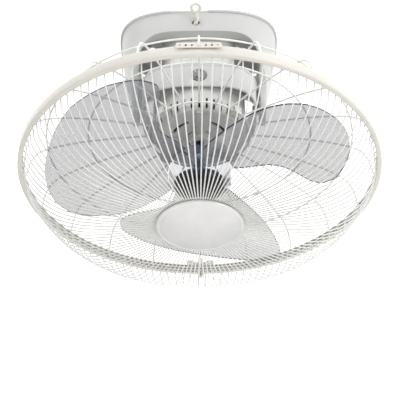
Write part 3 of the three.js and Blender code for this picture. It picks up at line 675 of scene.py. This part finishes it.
class FAN_OT_canopy(bpy.types.Operator):
    """Models the canopy cover: an oval shell with an arch between two cheeks"""

    bl_idname = "fan.canopy"
    bl_label = "Canopy cover"

    def execute(self, context):
        shell = oval_body("canopy_shell", canopy_sections(0, CANOPY_SECTIONS[-1][0]), CANOPY_ROUNDNESS)
        carve(shell, slab("cheek_profile", cheek_outline(0), "X", -130, 130), "INTERSECT")
        hollow = oval_body("canopy_hollow", canopy_sections(CANOPY_WALL, CUTTER_LOW), CANOPY_ROUNDNESS)
        carve(hollow, slab("hollow_profile", cheek_outline(CANOPY_WALL), "X", -130, 130), "INTERSECT")
        lip = oval_body("canopy_lip", [(0, 115, 78), (-2.6, 115, 78), (-3.5, 114, 77)], CANOPY_ROUNDNESS)
        carve(shell, lip, "UNION")
        carve(shell, hollow)
        arch = [(-ARCH_HALF, -160), *arch_curve(), (ARCH_HALF, -160)]
        carve(shell, slab("arch_profile", arch, "Y", -90, 90))
        carve(shell, arch_return(-78, -57), "UNION")
        carve(shell, arch_return(57, 78), "UNION")
        carve(shell, box_slab("lip_notch", (-41, 14), (-4.5, 1), "Y", -82, -75.7))
        carve(shell, cross_drill("cord_hole", 5.4, 30, CORD_HOLE, 40))
        soften(tidy(shell, 2e-5), 0.7)
        fit(smooth(shell), "canopy_skin", "base", ["canopy_cover"], "canopy")
        return {"FINISHED"}


class FAN_OT_hood(bpy.types.Operator):
    """Models the oval hood inside the canopy that hides the crank"""

    bl_idname = "fan.hood"
    bl_label = "Inner hood"

    def execute(self, context):
        outside = [(-2.55, 53, 55), (-3.2, 53, 55), (-78.8, 52.1, 51.1), (-80, 51.6, 50.6)]
        skirt = oval_body("hood_skirt", outside, HOOD_ROUNDNESS)
        carve(skirt, oval_body("hood_hollow", [(-4.55, 51, 53), (-82, 49.9, 48.9)], HOOD_ROUNDNESS))
        carve(skirt, oval_body("hood_mouth", [(1, 45, 47), (-20, 45, 47)], HOOD_ROUNDNESS))
        fit(smooth(tidy(skirt, 2e-5)), "hood_skirt", "base", ["drive_hood"], "bracket")
        return {"FINISHED"}


# ---- gimbal ring -----------------------------------------------------------------------------------
RING_ROUNDNESS = 3.2


def facing(obj, axis):
    """Turns a piece made along +Z to look along an axis and puts it at the gimbal's height."""
    turn = {"+X": ("Y", 90), "-X": ("Y", -90), "-Y": ("X", 90), "+Y": ("X", -90)}[axis]
    rotation = Matrix.Rotation(math.radians(turn[1]), 4, turn[0])
    return placed(obj, Matrix.Translation((0, 0, GIMBAL_HEIGHT * MM)) @ rotation)


def plug(radius, near, far, end, steps):
    """A round cutter that reaches outwards from the fan's middle at the gimbal's height."""
    return facing(lathe("plug", [(0, near), (radius, near), (radius, far), (0, far)], steps), end)


def ring_band():
    """The oblong band with its flared top lip, two bosses for the side pins and two eyes for the caps."""
    outside = [(-98, 82.1, 72.1), (-100.4, 82.1, 72.1), (-102, 80.8, 70.8), (-103, 80.5, 70.5),
               (-136, 79.9, 69.9), (-137, 79.2, 69.2)]
    ring = oval_body("ring_body", outside, RING_ROUNDNESS)
    for end in ("+X", "-X"):
        boss = lathe("ring_boss", [(0, 72), (9, 72), (9, 81.6), (8, 82.7), (0, 82.7)], 40)
        carve(ring, facing(boss, end), "UNION")
    carve(ring, oval_body("ring_hollow", [(-90, 77.5, 67.5), (-150, 77.5, 67.5)], RING_ROUNDNESS))
    for end in ("+X", "-X"):
        carve(ring, plug(5, 60, 95, end, 32))
    for end in ("+Y", "-Y"):
        carve(ring, plug(10.9, 55, 90, end, 48))
    return soften(tidy(ring, 2e-5), 0.5)


def pivot_cap(end):
    """A dished cap with a crossed driver slot, on the pin that carries the motor."""
    profile = [(0, 57.6), (3.6, 57.6), (3.9, 58), (3.9, 67.3), (10.3, 67.3), (10.3, 71.2), (9.9, 71.7),
               (9.2, 71.7), (8.6, 71.2), (7.2, 69.6), (5.2, 69.0), (4.4, 69.0), (4.4, 70.3), (4.0, 70.7),
               (0, 70.9)]
    cap = facing(lathe("pivot_cap", profile, 48), end)
    for turn in (20, 110):
        slot = box_slab("driver_slot", (-3, 3), (-0.55, 0.55), "Z", 69.6, 74)
        placed(slot, Matrix.Rotation(math.radians(turn), 4, "Z"))
        carve(cap, facing(slot, end))
    return cap


class FAN_OT_gimbal(bpy.types.Operator):
    """Models the gimbal ring, the dished pivot caps, and the side pins in their bushes"""

    bl_idname = "fan.gimbal"
    bl_label = "Gimbal ring and pivots"

    def execute(self, context):
        fit(smooth(ring_band()), "gimbal_band", "gimbal", ["gimbal_ring"], "canopy")
        for end, name in (("-Y", "front"), ("+Y", "rear")):
            fit(smooth(pivot_cap(end), 30), "pivot_cap_" + name, "gimbal", ["head_pivot_" + name],
                "dark_steel")
        shank = [(0, 76.1), (2.6, 76.1), (2.95, 76.5), (2.95, 87.75), (5.5, 87.75), (5.5, 89), (4.8, 89.8),
                 (0, 89.9)]
        flanged = [(3.25, 74.6), (4.6, 74.6), (4.6, 83.1), (7, 83.1), (7, 83.6), (6.6, 84), (3.25, 84)]
        for end, name in (("+X", "right"), ("-X", "left")):
            pin = facing(lathe("pivot_pin", shank, 32), end)
            fit(smooth(pin, 30), "pivot_shank_" + name, "base", ["pivot_pin_" + name], "steel")
            bush = facing(lathe("bush", flanged, 32, closed=True), end)
            fit(smooth(bush, 30), "flanged_bush_" + name, "gimbal", ["ring_bush_" + name], "nylon")
        return {"FINISHED"}


# ---- motor -----------------------------------------------------------------------------------------
EAR_BEARING = 45
EAR_CLEARANCE = 8  # degrees either side of an ear that hold no vent


def arc_slot(near, far, first, last):
    """A cutter for a slot in the motor's face that follows an arc between two bearings."""
    turns = [math.radians(first + (last - first) * i / 14) for i in range(15)]
    outer = [(far * math.cos(t), far * math.sin(t)) for t in turns]
    inner = [(near * math.cos(t), near * math.sin(t)) for t in reversed(turns)]
    return slab("face_slot", outer + inner, "Z", -176, -166)


def lower_shell():
    """The cup that faces the blades: ribs and ears added, then vents and two rings of slots cut."""
    corner = [(57.5 + 7 * math.sin(t), -165 - 7 * math.cos(t)) for t in (TURN / 4 * i / 8 for i in range(9))]
    outer = [(5.5, -179), (11.6, -179), (12.6, -178.6), (13, -177.6), (13, -172.6), (13.6, -172), *corner,
             (64.5, -131.4)]
    inner = [(62, -131.4), (62, -165), (57.5, -169.5), (13, -169.5), (13, -162), (8.2, -162), (8.2, -176),
             (5.5, -176)]
    cup = lathe("motor_cup", outer + inner, 160, closed=True)
    rib = [(11, -3.4), (57, -3.4), (58, -2.4), (58, 2.4), (57, 3.4), (11, 3.4)]
    for each in around(slab("face_rib", rib, "Z", -174.4, -171), 4):
        carve(cup, each, "UNION")
    ear = [(61, -7), (73.2, -7), (74, -6.2), (74, 6.2), (73.2, 7), (61, 7)]
    for each in around(slab("clip_ear", ear, "Z", -163.4, -159.4), 4, EAR_BEARING):
        carve(cup, each, "UNION")
    count = sizes().vents
    skip = [i for i in range(count) if abs((360 * i / count) % 90 - EAR_BEARING) <= EAR_CLEARANCE]
    vent = [(60, -171.2), (70, -171.2), (70, -154.5), (69, -153.5), (61, -153.5), (60, -154.5)]
    carve(cup, fuse("vents", around(slab("vent", vent, "Y", -1.45, 1.45), count, 0, skip)))
    carve(cup, fuse("face_slots", around(arc_slot(35.5, 39.8, 22, 68), 4)))
    carve(cup, fuse("inner_slots", around(arc_slot(16.4, 19, 30, 60), 4)))
    return tidy(cup, 1e-5)


def upper_shell():
    """The lid on the side of the ring, with a boss and an eye for each pivot cap."""
    profile = [(64.5, -131), (64.5, -112), (62.8, -107.6), (50, -101), (47, -100), (12, -100), (10.6, -100.6),
               (10, -102), (10, -110), (8.2, -110), (8.2, -118), (12, -118), (12, -102.5), (46, -102.5),
               (59.5, -109.5), (62, -113), (62, -131)]
    lid = lathe("motor_lid", profile, 128, closed=True)
    for end in ("+Y", "-Y"):
        stub = lathe("lid_boss", [(0, 57.5), (12, 57.5), (12, 64.8), (11.3, 65.5), (0, 65.5)], 40)
        boss = facing(stub, end)
        carve(boss, box_slab("boss_limit", (-30, 30), (-130.9, -109), "Y", -90, 90), "INTERSECT")
        carve(lid, boss, "UNION")
    for end in ("+Y", "-Y"):
        carve(lid, plug(4.2, 50, 80, end, 32))
    return tidy(lid, 1e-5)


class FAN_OT_motor(bpy.types.Operator):
    """Models both shells of the motor housing, the shaft and its collar"""

    bl_idname = "fan.motor"
    bl_label = "Motor housing and shaft"

    def execute(self, context):
        for shell, name, node in ((lower_shell(), "lower", "front"), (upper_shell(), "upper", "rear")):
            fit(smooth(shell, 32), f"motor_{name}_shell", "head", [f"motor_{node}_cover"],
                "housing")
        steps = [(0, -257), (3.6, -257), (4.5, -256.1), (4.5, -214), (4.35, -213.6), (4.35, -212.4),
                 (4.5, -212), (4.5, -103.2), (3.9, -102.6), (0, -102.6)]
        fit(smooth(lathe("shaft", steps, 48), 30), "spindle", "rotor", ["motor_shaft"], "shaft")
        washer = [(4.85, -208.9), (7.4, -208.9), (8, -208.3), (8, -203.7), (7.4, -203.1), (4.85, -203.1)]
        collar = lathe("collar", washer, 48, closed=True)
        fit(smooth(collar, 30), "thrust_collar", "rotor", ["shaft_collar"], "steel")
        return {"FINISHED"}


# ---- guards' shape ---------------------------------------------------------------------------------
RIM_TOP = -230  # top of the rim band
RIM_HOOP = 235.5  # radius of the hoop that each guard holds in the band
GUARD_RADIUS = 240
BOWL_DEPTH = 84
BOWL_FLATNESS = 6.74
BOWL_SHOULDER = 1.07


def bowl(r):
    """Height of the front guard at a radius: a nearly flat face inside a round shoulder."""
    return RIM_TOP - BOWL_DEPTH * (1 - min(1, r / GUARD_RADIUS) ** BOWL_FLATNESS) ** (1 / BOWL_SHOULDER)


def rear_meridian():
    """From the inner hoop over a shallow dish and a round shoulder down a steep skirt to the rim hoop."""
    dish = bezier((70, -166), (150, -172), (190, -180), (212, -190.5), 14)
    shoulder = bezier((212, -190.5), (224, -195.5), (230.4, -210.5), (231.4, -231.4), 12)
    return dish + shoulder[1:] + [(232.4, -233.4), (RIM_HOOP, -234.4)]


# ---- propeller -------------------------------------------------------------------------------------
LEADING = [(40, -91.2), (60, -89.6), (90, -86.5), (110, -83.5), (126, -80.6), (143, -77.5), (159, -74.4),
           (176, -71), (192, -65.3), (200, -59.5), (204.2, -51)]  # radius and bearing of a blade's edge
TRAILING = [(40, 6), (56, 3.9), (73, -0.5), (89, -3), (106, -0.8), (122, 4.3), (139, 9.6), (155, 13),
            (172, 13.4), (188, 8), (198, -4), (204.2, -20.8)]
BLADE_ROOT = 41.6
BLADE_REACH = 162.6
BLADE_BEARING = -4.5
BLADE_LIFT = 8.5  # height over the rim's top at BLADE_BEARING
BLADE_PITCH = 0.13  # slope at TWIST_RADIUS
BLADE_TWIST = 0.14  # how much the slope falls every 100 mm outwards
TWIST_RADIUS = 120
BLADE_CAMBER = 9.53  # drop 100 mm away from BLADE_BEARING
SPINNER_RADIUS = 34


def blade_point(r, across):
    """A point of the cambered, twisted blade; across is 0 on the leading edge and 1 on the trailing edge."""
    lead = along(LEADING, r)
    bearing = lead + (along(TRAILING, r) - lead) * across
    u = math.radians(bearing - BLADE_BEARING) * r
    slope = BLADE_PITCH - BLADE_TWIST * (r - TWIST_RADIUS) / 100
    z = BLADE_LIFT + u * slope - BLADE_CAMBER * (u / 100) ** 2
    a = math.radians(bearing)
    return Vector((r * math.cos(a), r * math.sin(a), z + RIM_TOP)) * MM


def blade():
    """One blade: a grid bent onto the surface, then given its thickness and a round edge."""
    deselect()
    bpy.ops.mesh.primitive_grid_add(x_subdivisions=26, y_subdivisions=40, size=2, location=(0, 0, 0))
    obj = named("blade")
    for vertex in obj.data.vertices:
        across = (vertex.co.x + 1) / 2
        out = math.sin(math.pi / 2 * (vertex.co.y + 1) / 2) ** 0.85  # rows crowd towards the round tip
        vertex.co = blade_point(BLADE_ROOT + BLADE_REACH * out, across)
    apply(obj, "SMOOTH", factor=0.5, iterations=2)
    dress(obj, "smoke", "blade_edge")
    apply(obj, "SOLIDIFY", thickness=sizes().blade * MM, offset=0, use_rim=True, material_offset_rim=1)
    return apply(obj, "BEVEL", width=0.55 * MM, segments=2, limit_method="ANGLE",
                 angle_limit=math.radians(50), material=1)


def outer_faces(obj, radius, low, index=1):
    """Gives the faces outside a radius and above a height another of the piece's finishes."""
    for face in obj.data.polygons:
        x, y, z = face.center
        if math.hypot(x, y) > radius * MM and z > low * MM:
            face.material_index = index
    return obj


class FAN_OT_propeller(bpy.types.Operator):
    """Models the clear three-blade propeller, its hub cup and the spinner nut"""

    bl_idname = "fan.propeller"
    bl_label = "Propeller and spinner"

    def execute(self, context):
        cup = [(41.2, -216.4), (42.4, -216.1), (43, -216.8), (43, -243), (42.2, -245.4), (40, -246.8),
               (5, -247), (5, -220), (9.6, -220), (10, -220.4), (10, -244), (38.5, -244), (40.4, -242.6),
               (41, -240.4)]
        hub = dress(smooth(lathe("hub", cup, 96, closed=True)), "hub")
        fin = slab("hub_fin", [(9, -246), (42, -246), (42, -235), (30, -233), (9, -226)], "Y", -0.8, 0.8)
        fins = dress(fuse("hub_fins", around(fin, 3, 10)), "hub")
        blades = around(smooth(blade(), 50), 3)
        fit(fuse("propeller", [hub, fins, *blades]), "propeller", "rotor", ["blade_set"])
        skin = [(0, -260), (14, -259.9), (25, -259), (30.6, -257), (33, -254), (SPINNER_RADIUS, -250.2),
                (SPINNER_RADIUS, -247.4)]
        under = [(31.5, -247.4), (31.5, -249.4), (10, -250), (10, -247.4), (4.85, -247.4), (4.85, -257.4),
                 (0, -257.4)]
        nut = dress(lathe("spinner", skin + under, 96), "spinner", "spinner_rim")
        outer_faces(nut, SPINNER_RADIUS - 0.8, -250)
        fit(smooth(nut), "spinner_cap", "rotor", ["spinner_nut"])
        return {"FINISHED"}


# ---- guards and rim band ---------------------------------------------------------------------------
CENTRE_HOOP = 53


class FAN_OT_rear_guard(bpy.types.Operator):
    """Models the rear guard: heavy radial wires over a shallow dish, with four hoops"""

    bl_idname = "fan.rear_guard"
    bl_label = "Rear guard"

    def execute(self, context):
        wire = sizes().rear_wire
        meridian = rear_meridian()
        parts = around(rod("rear_wire", [(r, 0, z) for r, z in meridian], wire), sizes().rear_wires)
        parts.append(hoop("inner_hoop", 70, -166, 1.5, 96))
        parts.append(hoop("rim_hoop", RIM_HOOP, -234.4, 1.5, 180))
        for r in (152, 207):
            parts.append(hoop("hoop", r, along(meridian, r) + 1.6, wire, 140))
        cage = smooth(fuse("rear_cage", parts), 50)
        # the rear wires take the white coat painted lighter against the shade they stand in
        fit(cage, "rear_cage", "head", ["rear_guard"], "wire_heavy")
        return {"FINISHED"}


class FAN_OT_front_guard(bpy.types.Operator):
    """Models the front guard: radial wires bent over a rounded shoulder, a rim hoop and a centre hoop"""

    bl_idname = "fan.front_guard"
    bl_label = "Front guard"

    def execute(self, context):
        hook = [(RIM_HOOP, -239.6), (233.4, -240.0), (231.9, -241.2), (231, -243.2)]
        face = [(r, bowl(r)) for r in (229.6, 227, 223, 217, 209, 199, 187, 172, 152, 125, 90, CENTRE_HOOP)]
        single = rod("guard_wire", [(r, 0, z) for r, z in hook + face], sizes().front_wire, 1)
        wires = around(single, sizes().front_wires, -89.1)
        rim = hoop("guard_rim", RIM_HOOP, -239.6, 1.9, 180)
        centre = hoop("guard_centre", CENTRE_HOOP, -313.8, 1.6, 120)
        cage = smooth(fuse("front_cage", [rim, centre, *wires]), 50)
        fit(cage, "front_cage", "head", ["front_guard"], "wire_white")
        return {"FINISHED"}


class FAN_OT_rim(bpy.types.Operator):
    """Models the rim band, a channel that clips over the rims of both guards"""

    bl_idname = "fan.rim"
    bl_label = "Rim band"

    def execute(self, context):
        profile = [(233.6, -230.3), (234.2, -230), (238.6, -230), (239.5, -230.4), (240, -231.4),
                   (240, -242.6), (239.5, -243.6), (238.6, -244), (234.2, -244), (233.6, -243.7),
                   (233.6, -242.7), (237.6, -242.5), (238, -242), (238, -232), (237.6, -231.5),
                   (233.6, -231.4)]
        band = lathe("band", profile, 240, closed=True)
        carve(band, box_slab("band_split", (-0.8, 0.8), (226, 254), "Z", -248, -226))
        fit(smooth(band), "rim_channel", "head", ["rim_band"], "ivory")
        return {"FINISHED"}


class FAN_OT_joint(bpy.types.Operator):
    """Models the low plate over the rim band's joint: a small lug between two rows of three holes"""

    bl_idname = "fan.joint"
    bl_label = "Band joint"

    def execute(self, context):
        face = [(-27, -236.5), (27, -236.5), (25.4, -228.6), (-25.4, -228.6)]
        plate = soften(slab("plate", face, "Y", -242.6, -241.4), 0.4)
        carve(plate, box_slab("plate_lug", (-2.4, 2.4), (-234.4, -227.9), "Y", -243.4, -241.6), "UNION")
        drill = cross_drill("plate_hole", 1.45, 8, (0, -242, -232.8), 20)
        for x in (-21.5, -14.8, -8, 8, 14.8, 21.5):
            carve(plate, placed(twin(drill), Matrix.Translation((x * MM, 0, 0))))
        bpy.data.objects.remove(drill)
        back = box_slab("joint_back", (-20, 20), (-234, -231), "Y", -241.2, -240.4)
        piece = fuse("joint_plate", [dress(smooth(tidy(plate)), "ivory"), dress(back, "black")])
        fit(piece, "joint_plate", "head", ["band_joint"])
        return {"FINISHED"}


class FAN_OT_badge(bpy.types.Operator):
    """Models the plain badge in the middle of the front guard"""

    bl_idname = "fan.badge"
    bl_label = "Badge"

    def execute(self, context):
        top = bowl(57) - 2.05
        face = [(0, -7), (12, -6.9), (26, -6.3), (38, -5.2), (47, -3.8), (51.4, -2.9), (52.2, -2.4),
                (53, -2.8), (54.6, -2.7), (56.2, -2), (57, -0.9), (57, 0)]
        under = [(55, 0), (40, -1.9), (6, -3), (6, 3), (2.75, 3), (2.75, -3), (0, -3)]
        cap = lathe("badge", [(r, top + z) for r, z in face + under], 128)
        outer_faces(dress(cap, "pearl", "pearl_rim"), 51.5, -400)
        fit(smooth(cap, 30), "badge_disc", "head", ["badge_cap"])
        return {"FINISHED"}


# ---- finishes of the pieces that keep their first shape --------------------------------------------
CARRIED = {
    "steel": ["ceiling_screw_left", "ceiling_screw_right", "orbit_motor", "crank_ball", "latch_pin",
              "badge_backing", "badge_screw"],
    "nylon": ["terminal_block", "orbit_socket", "crank_disc", "guard_clip_1", "guard_clip_2", "guard_clip_3",
              "guard_clip_4"],
    "bracket": ["ceiling_bracket"],
    "black": ["run_capacitor"],
    "lamination": ["stator_core", "rotor_core"],
    "copper": ["stator_coil_front", "stator_coil_rear"],
    "bronze": ["bearing_front", "bearing_rear"],
    "ivory": ["latch_base", "rim_latch"],
}


class FAN_OT_finishes(bpy.types.Operator):
    """Makes the finishes and gives them to the pieces that keep their first shape"""

    bl_idname = "fan.finishes"
    bl_label = "Finishes"

    def execute(self, context):
        make_finishes(context.scene.fan_colours)
        for finish, nodes in CARRIED.items():
            for node in nodes:
                dress(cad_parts[node], finish)
        return {"FINISHED"}


# ---- the add-on ------------------------------------------------------------------------------------
STEPS = [FAN_OT_finishes, FAN_OT_stage, FAN_OT_cord, FAN_OT_canopy, FAN_OT_hood, FAN_OT_gimbal, FAN_OT_motor,
         FAN_OT_propeller, FAN_OT_rear_guard, FAN_OT_front_guard, FAN_OT_rim, FAN_OT_joint, FAN_OT_badge]


class FAN_PT_parts(bpy.types.Panel):
    """Lists the fan's pieces and its sizes and colours"""

    bl_idname = "FAN_PT_parts"
    bl_label = "Orbital Ceiling Fan"
    bl_space_type = "VIEW_3D"
    bl_region_type = "UI"
    bl_category = "Ceiling Fan"

    def draw(self, context):
        for group in (context.scene.fan_sizes, context.scene.fan_colours):
            for key in group.__annotations__:
                self.layout.prop(group, key)
        for step in STEPS:
            self.layout.operator(step.bl_idname)


CLASSES = [FanSizes, FanColours, *STEPS, FAN_PT_parts]


def register():
    for each in CLASSES:
        bpy.utils.register_class(each)
    bpy.types.Scene.fan_sizes = bpy.props.PointerProperty(type=FanSizes)
    bpy.types.Scene.fan_colours = bpy.props.PointerProperty(type=FanColours)


def unregister():
    del bpy.types.Scene.fan_colours
    del bpy.types.Scene.fan_sizes
    for each in reversed(CLASSES):
        bpy.utils.unregister_class(each)


def main():
    register()
    bpy.ops.fan.finishes()
    bpy.ops.fan.stage()
    bpy.ops.fan.cord()
    bpy.ops.fan.canopy()
    bpy.ops.fan.hood()
    bpy.ops.fan.gimbal()
    bpy.ops.fan.motor()
    bpy.ops.fan.propeller()
    bpy.ops.fan.rear_guard()
    bpy.ops.fan.front_guard()
    bpy.ops.fan.rim()
    bpy.ops.fan.joint()
    bpy.ops.fan.badge()


if __name__ == "__main__":
    main()
